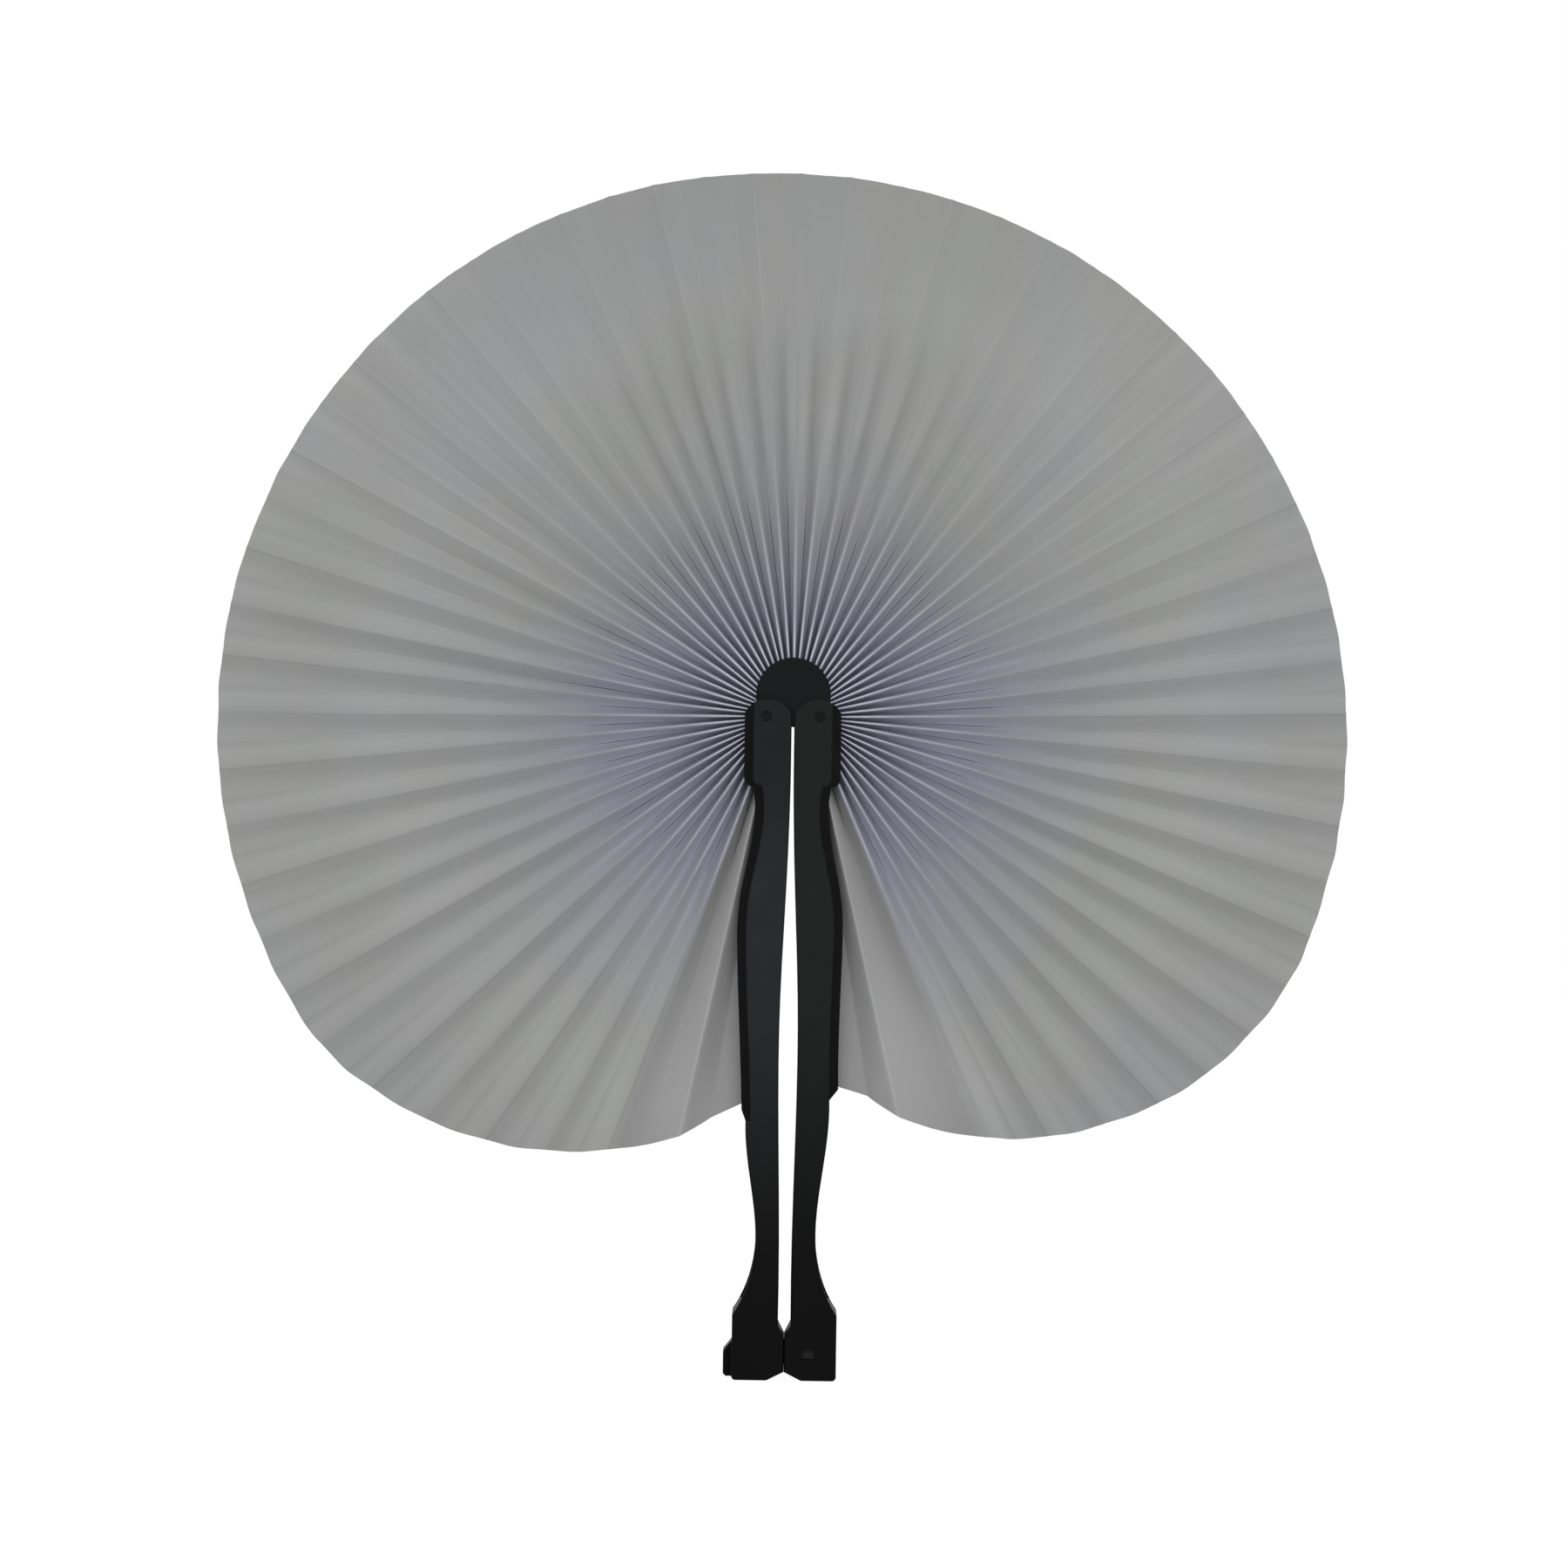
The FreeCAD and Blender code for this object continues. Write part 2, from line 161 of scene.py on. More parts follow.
# Parts of the leaf, by height over distance from the hub
UPPER_PART = (0.1, 0.6)
LOWEST_PART = (-0.1, -0.8)
CROWN = (0.6, 0.95)
SUMMIT = (0.8, 0.98)

# The smooth crown by distance from the hub, and the leaf's ends by pleats past the last crest but one
SMOOTH_CROWN = (70, 100)
SMOOTHED_SHARE = 0.85
END_PANELS = (0.0, 0.15)
PAST_LAST_CREST = (1.0, 1.12)

# Softness of the change from front to back and from panel to panel, and how sideways the diagonals are
FRONT_EDGE = 0.03
PANEL_EDGE = 0.12
DIAGONAL_SIDEWAYS = 0.5

# Tints: faint stains of two kinds, the end panels, and the cool pleats round the hub, shorter above it
STAIN_TINTS = ((1.0, 1.018, 0.98, 1.0), (0.995, 1.002, 1.02, 1.0))
STAIN_CONTRAST = (0.35, 0.65)
END_TINT = (0.998, 1.0, 1.005, 1.0)
COOL_TINT = (0.965, 0.965, 1.15, 1.0)
COOL_END = (30, 80)
COOL_END_SOONER = (8, 20)

# Light that goes from panel to panel: most round the hub, some on the upper part, less on the lower part
PASSED_REACH = 17
PASSED_UPWARD = 1.2
PASSED_SIDEWAYS = 0.95
PASSED_MOST = 0.45
PASSED_UPPER = 0.08
PASSED_UPPER_START = (25, 50)
PASSED_CROWN_END = (60, 92)
PASSED_LOWER_LOSS = 0.05
PASSED_LOWER_START = (45, 62)

# Light and shade along the creases
VALLEY_LIFT = {"fold": (0.3, 1.0), "start": (38, 60), "change": (70, 105), "strength": (0.1, 0.02)}
SUMMIT_BAND = {"fold": (-0.2, 0.9), "start": (45, 60), "change": (70, 95), "strength": (0.1, 0.0)}
LIT_PANEL_DIP = {"fold": (0.3, 1.0), "start": (42, 55), "change": (80, 105), "strength": (0.075, 0.015)}
CREST_SHADE = {"fold": (-0.55, -1.0), "start": (30, 42), "change": (70, 105), "strength": (0.13, 0.05)}
CREST_LINE = {"fold": (-0.88, -1.0), "start": (35, 50), "change": (60, 80), "strength": (0.13, 0.06)}
CREST_SHARPENED = 0.6
INNER_VALLEY_LIGHT = 0.5
INNER_VALLEY_END = (20, 70)

# A shaded panel's rise in tone from crest to valley, and what it loses further out, more on the upper part
SHADED_RISE = 0.11
SHADED_RISE_FOLD = (-0.6, 1.0)
SHADED_RISE_START = (20, 30)
SHADED_RISE_LOSS = 0.03
SHADED_RISE_LOSS_UPPER = 0.08
SHADED_RISE_LOSS_START = (60, 75)

# Shade on whole parts of the leaf, and on the panels at its two ends
LOWER_SHADE = 0.05
LOWEST_SHADE = 0.07
LOWEST_SHADE_START = (40, 80)
RIM_SHADE = 0.08
RIM_SHADE_LESS_UPPER = 0.055
RIM_SHADE_LESS_CROWN = 0.025
RIM_SHADE_START = (80, 112)
CROWN_SHADE = 0.1
CROWN_SHADE_START = (50, 80)
SMOOTH_CROWN_SHADE = 0.025
END_SHADE = (0.3, 0.08)
END_SHADE_SPAN = (0.1, 1.0)
END_SHADE_RIM_SHARE = 0.5
END_SHADE_RIM_START = (50, 85)
PAST_LAST_CREST_LIGHT = 0.87

# The paper's light without clouds and fibres, what these add, and how steep its pleats look to the light
PAPER_LEVEL = 0.955
PAPER_CLOUD_LIGHT = 0.06
PAPER_FIBRE_LIGHT = 0.03
SHADED_STEEPNESS = 0.33
SHADED_STEEPNESS_END = (35, 95)
CROWN_FLATNESS = 0.7

# Noise in the finishes: the width of its lumps, its detail and its roughness
PAPER_CLOUDS = (14, 3.0, 0.5)
PAPER_STAINS = (45, 2.0, 0.5)
PAPER_FIBRES = (0.9, 4.0, 0.65)
PAPER_GRAIN = (0.35, 3.0, 0.6)
PLASTIC_CLOUDS = (6, 3.0, 0.5)
PLASTIC_SCUFFS = (0.7, 4.0, 0.7)
PLASTIC_GRAIN = (0.16, 2.0, 0.6)
THREAD_DUST = (0.4, 3.0, 0.6)

# Plastic colours of the front faces, the recesses' painted shade, and painted highlights on the edges and
# the latch tongue
# The left arm's black is lighter than the right's on the same plastic: painted light
LEFT_ARM_LIT_BLACK = (0.0160, 0.0168, 0.0182, 1.0)
RIGHT_ARM_BLACK = (0.0094, 0.0102, 0.0102, 1.0)
HUB_BLACK = (0.0042, 0.0046, 0.0052, 1.0)
PIN_BLACK = (0.0040, 0.0042, 0.0046, 1.0)
RECESS_SHADE_BLACK = (0.0018, 0.0018, 0.0022, 1.0)
EDGE_HIGHLIGHT_GREY = (0.03, 0.03, 0.032, 1.0)
EDGE_HIGHLIGHT_SCUFFS = (0.35, 0.6)
EDGE_HIGHLIGHT_SHARE = 0.5
TONGUE_HIGHLIGHT_GREY = (0.022, 0.022, 0.022, 1.0)
PLASTIC_LEVEL = 0.75
PLASTIC_CLOUD_LIGHT = 0.35
PLASTIC_SCUFF_LIGHT = 0.15

# Where the plastic and its painted shade and highlights change: below a front face, up an arm, and out along
# the tongue
FACE_START = (0.35, 0.05)
EDGE_START = (0.5, 0.28)
EDGE_END = (0.22, 0.02)
FOOT_END = (-22, 52)
LUG_START = (70, 98)
TONGUE_START = (0.5, 1.5)

# Painted shade on an arm's lug and its foot: how light they are beside the rest of it
LEFT_ARM_SHADES = (0.62, 0.07)
RIGHT_ARM_SHADES = (0.95, 0.11)

# Thread colours, with the dust that lies in it
THREAD_BLACK = (0.012, 0.012, 0.013, 1.0)
THREAD_DUSTY = (0.05, 0.05, 0.055, 1.0)
THREAD_DUST_CONTRAST = (0.45, 0.8)

# Stage: a floor in metres, the room's even light, and two suns by strength, azimuth, height and softness
FLOOR_HALF_SIZE = 1.5
FLOOR_PALE = 0.85
FLOOR_WHITE = 1.07
FLOOR_WHITE_SHARE = 0.9
ROOM_LIGHT = 0.5
KEY_SUN = (0.5, 0, 20, 50)
BACK_SUN = (0.35, 180, 30, 60)

# Camera: square on to the leaf, rolled by the tilt at which the fan is held
FRAME_WIDTH = 346.7
FRAME_CENTRE = (-1.8, -14.86)
FAN_TILT = 0.85
LENS = 85.0
SENSOR = 36.0


class Value:
    """A socket of a material. Its operators add the Math nodes of an expression."""

    def __init__(self, finish, socket):
        self.finish = finish
        self.socket = socket

    def math(self, operation, *others):
        inputs = dict(enumerate((self, *others)))
        return self.finish.add("Math", {"operation": operation}, inputs)

    def __add__(self, other):
        return self.math("ADD", other)

    def __radd__(self, other):
        return self.math("ADD", other)

    def __sub__(self, other):
        return self.math("SUBTRACT", other)

    def __rsub__(self, other):
        return self.math("MULTIPLY", -1.0).math("ADD", other)

    def __mul__(self, other):
        return self.math("MULTIPLY", other)

    def __rmul__(self, other):
        return self.math("MULTIPLY", other)

    def __truediv__(self, other):
        return self.math("DIVIDE", other)

    def __pow__(self, other):
        return self.math("POWER", other)

    def fade(self, start, end, low=0.0, high=1.0):
        """Runs smoothly from low at start to high at end."""
        sockets = {"From Min": start, "From Max": end, "To Min": low, "To Max": high, "Value": self}
        return self.finish.add("MapRange", {"interpolation_type": "SMOOTHSTEP"}, sockets)


class Finish:
    """A material, world or other node tree that is being made."""

    def __init__(self, owner):
        owner.use_nodes = True
        self.owner = owner
        self.tree = owner.node_tree
        self.tree.nodes.clear()

    def node(self, kind, settings=None, inputs=None):
        """Adds one node, and gives it its settings and then its sockets."""
        node = self.tree.nodes.new("ShaderNode" + kind)
        for name, value in (settings or {}).items():
            if name == "stops":
                self.set_stops(node.color_ramp, value)
            else:
                setattr(node, name, value)
        for name, value in (inputs or {}).items():
            if isinstance(value, Value):
                self.tree.links.new(value.socket, node.inputs[name])
            else:
                node.inputs[name].default_value = value
        return node

    def add(self, kind, settings=None, inputs=None, out=0):
        """Adds one node and returns one of its outputs."""
        return Value(self, self.node(kind, settings, inputs).outputs[out])

    def set_stops(self, ramp, stops):
        while len(ramp.elements) < len(stops):
            ramp.elements.new(1.0)
        for element, (position, colour) in zip(ramp.elements, stops):
            element.position = position
            element.color = (*colour, 1.0)

    def mix(self, share, first, second):
        """A colour between two colours."""
        settings = {"data_type": "RGBA"}
        return self.add("Mix", settings, {0: share, 6: first, 7: second}, out=2)

    def tint(self, colour, strength):
        """A colour made lighter or darker by a value."""
        return self.add("VectorMath", {"operation": "SCALE"}, {0: colour, "Scale": strength})

    def times(self, first, second):
        """Two colours or vectors multiplied."""
        return self.add("VectorMath", {"operation": "MULTIPLY"}, {0: first, 1: second})

    def place(self):
        """The surface's own coordinates, in metres."""
        return self.add("TexCoord", out="Object")

    def parts(self, vector):
        """The x, y and z of a vector."""
        node = self.node("SeparateXYZ", inputs={0: vector})
        return [Value(self, socket) for socket in node.outputs]

    def attribute(self, name):
        """A number that the piece's mesh carries at each vertex."""
        return self.add("Attribute", {"attribute_name": name}, out="Fac")

    def noise(self, place, size, detail, roughness):
        """Cloudy noise whose lumps are about size millimetres wide."""
        sockets = {"Vector": place, "Scale": 1.0 / (size * MM), "Detail": detail, "Roughness": roughness}
        return self.add("TexNoise", inputs=sockets)

    def flattened(self, steepness):
        """The surface's normal, with its slope out of the leaf's plane made less steep."""
        own = self.add("TexCoord", out="Normal")
        scale = self.add("CombineXYZ", inputs={0: steepness, 1: 1.0, 2: steepness})
        turn = {"vector_type": "NORMAL", "convert_from": "OBJECT", "convert_to": "WORLD"}
        return self.add("VectorTransform", turn, {0: self.times(own, scale)})

    def surface(self, shader):
        self.node("OutputMaterial", inputs={"Surface": shader})
        return self.owner


def grey(level):
    return (level, level, level, 1.0)


# Leaf geometry
def crease_angle(side, crest):
    """The direction of a crease from straight up, in degrees.

    Crests are whole numbers from the top crest on, and valleys lie at the halves.
    """
    even_crests = side["crests"] - 1
    growth = (side["even_end"] - side["pitch"] * even_crests) / even_crests**3
    if crest < 0:
        return side["pitch_beyond"] * crest
    if crest <= even_crests:
        return side["pitch"] * crest + growth * crest**3
    if crest <= side["crests"]:
        return side["even_end"] + (side["last"] - side["even_end"]) * (crest - even_crests)
    return side["last"] + 2 * END_VALLEY_STEP * (crest - side["crests"])


def ray_to_arc(start, direction, arc):
    """How far a ray from start runs to a rim arc that lies round it."""
    (x, z), radius = arc
    offset = Vector((start[0] - x, start[1] - z))
    along = offset.dot(direction)
    return -along + math.sqrt(along**2 - offset.length_squared + radius**2)


def crease_line(side, crest):
    """Where a crease's line starts, its direction, and the direction across it, towards the arm."""
    angle = math.radians(crease_angle(side, crest))
    start = Vector((side["sign"] * CREASE_SHIFT * (1 - math.cos(angle)) / 2, 0.0))
    along = Vector((side["sign"] * math.sin(angle), math.cos(angle)))
    across = Vector((side["sign"] * math.cos(angle), -math.sin(angle)))
    return start, along, across


def rim_reach(side, crest):
    """How far the leaf runs along a crease."""
    start, along, _ = crease_line(side, crest)
    reach = ray_to_arc(start, along, side["rim"])
    if crease_angle(side, crest) > LOBE_START_ANGLE:
        reach = min(reach, ray_to_arc(start, along, side["lobe"]))
    past_last = max(crest - side["crests"], 0.0)
    return reach - 2 * past_last * END_VALLEY_RISE


def uneven_creases(side, seed):
    """Small chance differences at each half step of the pleats. The top crest has none.

    They are the angle at the rim, the angle at the hub, the rim's reach and the depth at the hub.
    """
    draw = random.Random(seed)
    rows = [(0.0, 0.0, 0.0, 0.0)]
    for _ in range(2 * side["crests"] + 2):
        angle = draw.uniform(-UNEVEN_ANGLE, UNEVEN_ANGLE)
        hub_angle = draw.uniform(-UNEVEN_HUB_ANGLE, UNEVEN_HUB_ANGLE)
        rim = draw.uniform(-UNEVEN_RIM, 0.0)
        rows.append((angle, hub_angle, rim, draw.uniform(-UNEVEN_DEPTH, 0.0)))
    return rows


def between(rows, crest):
    """The chance differences at any place between two creases."""
    first = min(int(2 * crest), len(rows) - 2)
    share = 2 * crest - first
    return [a + (b - a) * share for a, b in zip(rows[first], rows[first + 1])]


def fold_wave(crest, pitch, station):
    """Goes from -1 on a crest to 1 in a valley.

    Panels get hollower towards the rim, so the crests stay sharp there.
    """
    sharpness = 1 - min(2 * math.pi * CREASE_ROUND / pitch, 1.0) ** 2 / 2
    straight = -math.asin(sharpness * math.cos(2 * math.pi * crest)) / math.asin(sharpness)
    hollow = 2 * abs(math.sin(math.pi * crest)) - 1
    return straight + (hollow - straight) * VALLEY_SOFTNESS * station


def leaf_point(side, crest, station):
    """A point of the leaf's middle surface, and how far it is from crest to valley."""
    rim_angle, hub_angle, rim_shift, hub_depth = between(side["uneven"], crest)
    reach = rim_reach(side, crest) + rim_shift - CREST_TRIM * math.cos(math.pi * crest) ** 2
    distance = INNER_EDGE + station * (reach - INNER_EDGE)
    gathered = math.exp((INNER_EDGE - distance) / GATHERED_REACH)
    pitch_angle = crease_angle(side, crest + 0.5) - crease_angle(side, crest - 0.5)
    turned = rim_angle + (hub_angle - rim_angle) * gathered
    start, along, across = crease_line(side, crest + turned / pitch_angle)
    pitch = distance * math.radians(pitch_angle)
    depth = math.sqrt(max(PANEL_WIDTH**2 - (pitch / 2) ** 2, LEAST_DEPTH**2))
    depth *= 1 + hub_depth * gathered
    fold = fold_wave(crest, pitch, station)
    bow = PANEL_BOW * math.sin(2 * math.pi * crest) * math.sin(math.pi * station)
    flat = start + along * distance + across * bow
    return Vector((flat.x, fold * (depth - PAPER_THICKNESS) / 2, flat.y)), fold


def end_panel_point(side, share, station):
    """A point of the last panel, from the last valley to the edge that is glued in the arm."""
    last_valley = side["crests"] + 0.5
    near, fold = leaf_point(side, last_valley, station)
    depth = -INNER_EDGE - station * (side["glued_end"] - INNER_EDGE)
    glued = Vector((side["sign"] * GLUED_EDGE_X, 0.0, depth))
    return near.lerp(glued, share), fold * (1 - share)


def crowded(step):
    """Moves even steps across a panel towards its two creases."""
    return step - CREASE_CROWDING * math.sin(2 * math.pi * step) / (2 * math.pi)


def leaf_piece(name, side, first, last):
    """The leaf from one crease to another as one thin folded sheet."""
    panels = round(2 * (last - first))
    sheet = bmesh.new()
    bmesh.ops.create_grid(sheet, x_segments=panels * COLUMNS_PER_PANEL, y_segments=ROWS, size=GRID_HALF)
    fold_layer = sheet.verts.layers.float.new("fold")
    facing_layer = sheet.verts.layers.float.new("facing")
    ending_layer = sheet.verts.layers.float.new("ending")
    for vertex in sheet.verts:
        panel, step = divmod((vertex.co.x + GRID_HALF) * panels, 1.0)
        crest = first + (panel + crowded(step)) / 2
        station = (vertex.co.y + GRID_HALF) ** ROW_CROWDING
        glued_share = 2 * (crest - side["crests"] - 0.5)
        if glued_share > 0:
            point, fold = end_panel_point(side, glued_share, station)
        else:
            point, fold = leaf_point(side, crest, station)
        vertex.co = HUB + point * MM
        vertex[fold_layer] = fold
        vertex[facing_layer] = math.sin(2 * math.pi * crest) * (1 - max(glued_share, 0.0))
        vertex[ending_layer] = max(crest - side["crests"] + 1, 0.0)
    if side["sign"] > 0:
        bmesh.ops.reverse_faces(sheet, faces=sheet.faces)
    for face in sheet.faces:
        face.smooth = True
    for edge in sheet.edges:
        edge.smooth = not edge.is_boundary
    piece = new_object(name, sheet)
    wall = piece.modifiers.new("paper", "SOLIDIFY")
    wall.thickness = PAPER_THICKNESS * MM
    wall.offset = 0.0
    return piece


def thread_point(side, crest, ply, turn):
    """A point on the skin of one ply of the thread."""
    start, along, _ = crease_line(side, crest)
    twist = 2 * math.pi * (THREAD_TURNS_PER_PLEAT * crest + ply / THREAD_PLIES)
    reach = THREAD_REACH + THREAD_LAY * math.cos(twist) + THREAD_PLY_RADIUS * math.cos(turn)
    deep = THREAD_LAY * math.sin(twist) + THREAD_PLY_RADIUS * math.sin(turn)
    flat = start + along * reach
    return Vector((flat.x, deep, flat.y))


def thread_piece(name, side, first, last):
    """The length of binding thread at the pleats from one crease to another."""
    cord = bmesh.new()
    steps = round((last - first) * THREAD_STEPS_PER_PLEAT)
    for ply in range(THREAD_PLIES):
        grid = bmesh.ops.create_grid(cord, x_segments=steps, y_segments=THREAD_ROUND_STEPS, size=GRID_HALF)
        for vertex in grid["verts"]:
            crest = first + (vertex.co.x + GRID_HALF) * (last - first)
            turn = 2 * math.pi * (vertex.co.y + GRID_HALF)
            vertex.co = HUB + thread_point(side, crest, ply, turn) * MM
    bmesh.ops.remove_doubles(cord, verts=cord.verts, dist=THREAD_WELD * MM)
    bmesh.ops.holes_fill(cord, edges=[edge for edge in cord.edges if edge.is_boundary], sides=0)
    bmesh.ops.recalc_face_normals(cord, faces=cord.faces)
    for face in cord.faces:
        face.smooth = True
    return new_object(name, cord)


def closed_shift(side, crest, number, sections):
    """How far a section has to move across, as it folds, to reach its own place in the stack."""
    start, _, across = crease_line(side, crest)
    pivot = Vector((side["sign"] * PIVOT_X, 0.0))
    natural = (pivot - start).dot(across)
    share = (sections - number) / (sections - 1)
    wanted = STACK_FIRST + (STACK_LAST - STACK_FIRST) * share - PIVOT_X
    return natural - wanted


def fold_section(piece, side, node, number, sections):
    """Lets a piece turn with one leaf section."""
    middle = PLEATS_PER_SECTION * (number - 0.5)
    start, _, across = crease_line(side, middle)
    anchor = start + across * closed_shift(side, middle, number, sections)
    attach(piece, node)
    node + "_fold"
    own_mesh(piece)


def fold_end(piece, side):
    """Lets a piece turn with an arm."""
    web = HUB + Vector((side["sign"] * GLUED_EDGE_X, 0, 0)) * MM
    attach(piece, side["arm"])
    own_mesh(piece)


def dress_leaf():
    paper = paper_finish()
    thread = thread_finish()
    for offset, (name, side) in enumerate(SIDES.items()):
        side["uneven"] = uneven_creases(side, UNEVEN_SEED + offset)
        sections = (side["crests"] - 1) // PLEATS_PER_SECTION
        for number in range(1, sections + 2):
            first = PLEATS_PER_SECTION * (number - 1)
            if number > sections:
                place = name + "_end"
                sheet = leaf_piece("paper_" + place, side, first, side["crests"] + 1)
                cord = thread_piece("thread_" + place, side, first, side["crests"] + 0.5)
                fold_end(sheet, side)
                fold_end(cord, side)
            else:
                place = "%s_%02d" % (name, number)
                sheet = leaf_piece("paper_" + place, side, first, first + PLEATS_PER_SECTION)
                cord = thread_piece("thread_" + place, side, first, first + PLEATS_PER_SECTION)
                fold_section(sheet, side, "leaf_" + place, number, sections)
                fold_section(cord, side, "leaf_" + place, number, sections)
            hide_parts("leaf_" + place)
            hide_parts("binding_thread")
            finish_piece(sheet, paper)
            finish_piece(cord, thread)


def new_object(name, form):
    """An object in the scene from a finished bmesh."""
    mesh = bpy.data.meshes.new(name)
    form.to_mesh(mesh)
    form.free()
    piece = bpy.data.objects.new(name, mesh)
    bpy.context.scene.collection.objects.link(piece)
    return piece


def finish_piece(piece, material):
    piece.data.materials.clear()
    piece.data.materials.append(material)


# Finishes
class Leaf:
    """Where a place on the paper lies on the leaf, as values of the paper's finish.

    fold goes from -1 on a crest to 1 in a valley. facing is 1 in the middle of a shaded panel, which follows
    a crest, and -1 in the middle of a lit one. A crest in front is a valley behind, so both change sign.
    """

    def __init__(self, finish):
        self.place = finish.place()
        x, _, z = finish.parts(self.place)
        height = z - HUB.z
        self.from_hub = (x * x + height * height) ** 0.5
        self.upward = height / self.from_hub
        self.sideways = 1 - self.upward * self.upward
        self.upper = self.upward.fade(*UPPER_PART)
        self.crown = self.upward.fade(*CROWN)
        self.smooth_crown = self.crown * self.out(*SMOOTH_CROWN)
        _, outward, _ = finish.parts(finish.add("TexCoord", out="Normal"))
        front = outward.fade(-FRONT_EDGE, FRONT_EDGE, 1.0, -1.0)
        self.fold = front * finish.attribute("fold")
        self.from_crest = (self.fold + 1) / 2
        self.facing = front * finish.attribute("facing")
        self.ending = finish.attribute("ending")
        self.pleated = self.ending.fade(*END_PANELS, 1.0, 0.0)

    def out(self, start, end, low=0.0, high=1.0):
        """Runs from low to high between two distances from the hub, in millimetres."""
        return self.from_hub.fade(start * MM, end * MM, low, high)

    def along_crease(self, fold, start, change, strength):
        """A light or shade that follows the creases.

        It grows over a part of each fold. Over two stretches from the hub it starts, and then changes from
        one strength to another.
        """
        return self.fold.fade(*fold) * self.out(*start) * self.out(*change, *strength)


def paper_colour(finish, leaf):
    """The paper's colour: faintly stained, cooler towards the hub, with painted light and shade from the hub
    to the rim.
    """
    reach = leaf.from_hub / (SIDES["left"]["rim"][1] * MM)
    # The paper's grey, with painted light and shade that changes from the hub to the rim
    stops = [(at, (level,) * 3) for at, level in PAPER_GREY_AND_PAINTED_LIGHT]
    tone = finish.add("ValToRGB", {"stops": stops}, {"Fac": reach})
    stains = finish.noise(leaf.place, *PAPER_STAINS)
    tint = finish.mix(stains.fade(*STAIN_CONTRAST), *STAIN_TINTS)
    tint = finish.mix(leaf.pleated, END_TINT, tint)
    cool_end = [end - leaf.upper * sooner for end, sooner in zip(COOL_END, COOL_END_SOONER)]
    tint = finish.mix(leaf.out(*cool_end, 1.0, 0.0) * leaf.pleated, tint, COOL_TINT)
    return finish.times(tone, tint)


def painted_fold_light(finish, leaf):
    """Painted light and shade across a pleat, as a share of TONE_RANGE, because a ramp's levels end at 1."""
    zones = []
    for tones in (HUB_FOLD_LIGHT_AND_SHADE, MIDDLE_FOLD_LIGHT_AND_SHADE, RIM_FOLD_LIGHT_AND_SHADE):
        stops = [((fold + 1) / 2, (level / TONE_RANGE,) * 3) for fold, level in tones]
        zones.append(finish.add("ValToRGB", {"stops": stops}, {"Fac": leaf.from_crest}))
    tone = finish.mix(leaf.out(*MIDDLE_ZONE), zones[0], zones[1])
    tone = finish.mix(leaf.out(*RIM_ZONE), tone, zones[2])
    tone = finish.mix(leaf.smooth_crown * SMOOTHED_SHARE, tone, grey(1 / TONE_RANGE))
    # A painted highlight along the last crest beside each arm
    end_crest_highlight = leaf.fold.fade(*END_CREST, 1 / TONE_RANGE, END_CREST_HIGHLIGHT / TONE_RANGE)
    return finish.mix(leaf.pleated, end_crest_highlight, tone)


def passed_light(leaf):
    """Light that goes from panel to panel: the shaded ones get it and the lit ones lose it."""
    near_hub = (leaf.from_hub / (-PASSED_REACH * MM)).math("EXPONENT")
    passed = (near_hub * (PASSED_UPWARD + leaf.sideways * PASSED_SIDEWAYS)).math("MINIMUM", PASSED_MOST)
    upper = leaf.upper * leaf.out(*PASSED_UPPER_START) * (1 - leaf.crown * leaf.out(*PASSED_CROWN_END))
    lower = (1 - leaf.upper) * leaf.out(*PASSED_LOWER_START)
    return leaf.facing * (passed + upper * PASSED_UPPER - lower * PASSED_LOWER_LOSS)


def valley_light(leaf):
    """Light in the valleys. A shaded panel gets lighter towards its valley, and a lit one darker."""
    inner = leaf.from_crest * leaf.out(*INNER_VALLEY_END, INNER_VALLEY_LIGHT, 0.0)
    inner = inner * (leaf.sideways - DIAGONAL_SIDEWAYS)
    shaded = leaf.facing.fade(-PANEL_EDGE, PANEL_EDGE)
    loss = SHADED_RISE_LOSS + leaf.upper * SHADED_RISE_LOSS_UPPER
    rise = leaf.out(*SHADED_RISE_START) * SHADED_RISE - leaf.out(*SHADED_RISE_LOSS_START) * loss
    rise = shaded * leaf.fold.fade(*SHADED_RISE_FOLD) * rise
    dip = (1 - shaded) * leaf.along_crease(**LIT_PANEL_DIP)
    sides = leaf.along_crease(**VALLEY_LIFT) + rise - dip
    summit = leaf.upward.fade(*SUMMIT) * leaf.along_crease(**SUMMIT_BAND)
    return inner + sides * (1 - leaf.crown) - summit


def crest_shade(leaf):
    """Shade along the crests, sharper on the upper part. The smooth crown has none."""
    broad = leaf.along_crease(**CREST_SHADE) * (1 - leaf.upper * CREST_SHARPENED)
    line = leaf.along_crease(**CREST_LINE) * (1 - CREST_SHARPENED + leaf.upper * CREST_SHARPENED)
    return (broad + line) * (1 - leaf.smooth_crown)


def broad_shade(leaf):
    """Shade on whole parts of the leaf."""
    lower = (1 - leaf.upper) * LOWER_SHADE
    lowest = leaf.upward.fade(*LOWEST_PART) * leaf.out(*LOWEST_SHADE_START) * LOWEST_SHADE
    rim_shade = RIM_SHADE - leaf.upper * RIM_SHADE_LESS_UPPER - leaf.crown * RIM_SHADE_LESS_CROWN
    rim = leaf.out(*RIM_SHADE_START) * rim_shade
    crown = leaf.crown * leaf.out(*CROWN_SHADE_START) * CROWN_SHADE + leaf.smooth_crown * SMOOTH_CROWN_SHADE
    return lower + lowest + rim + crown


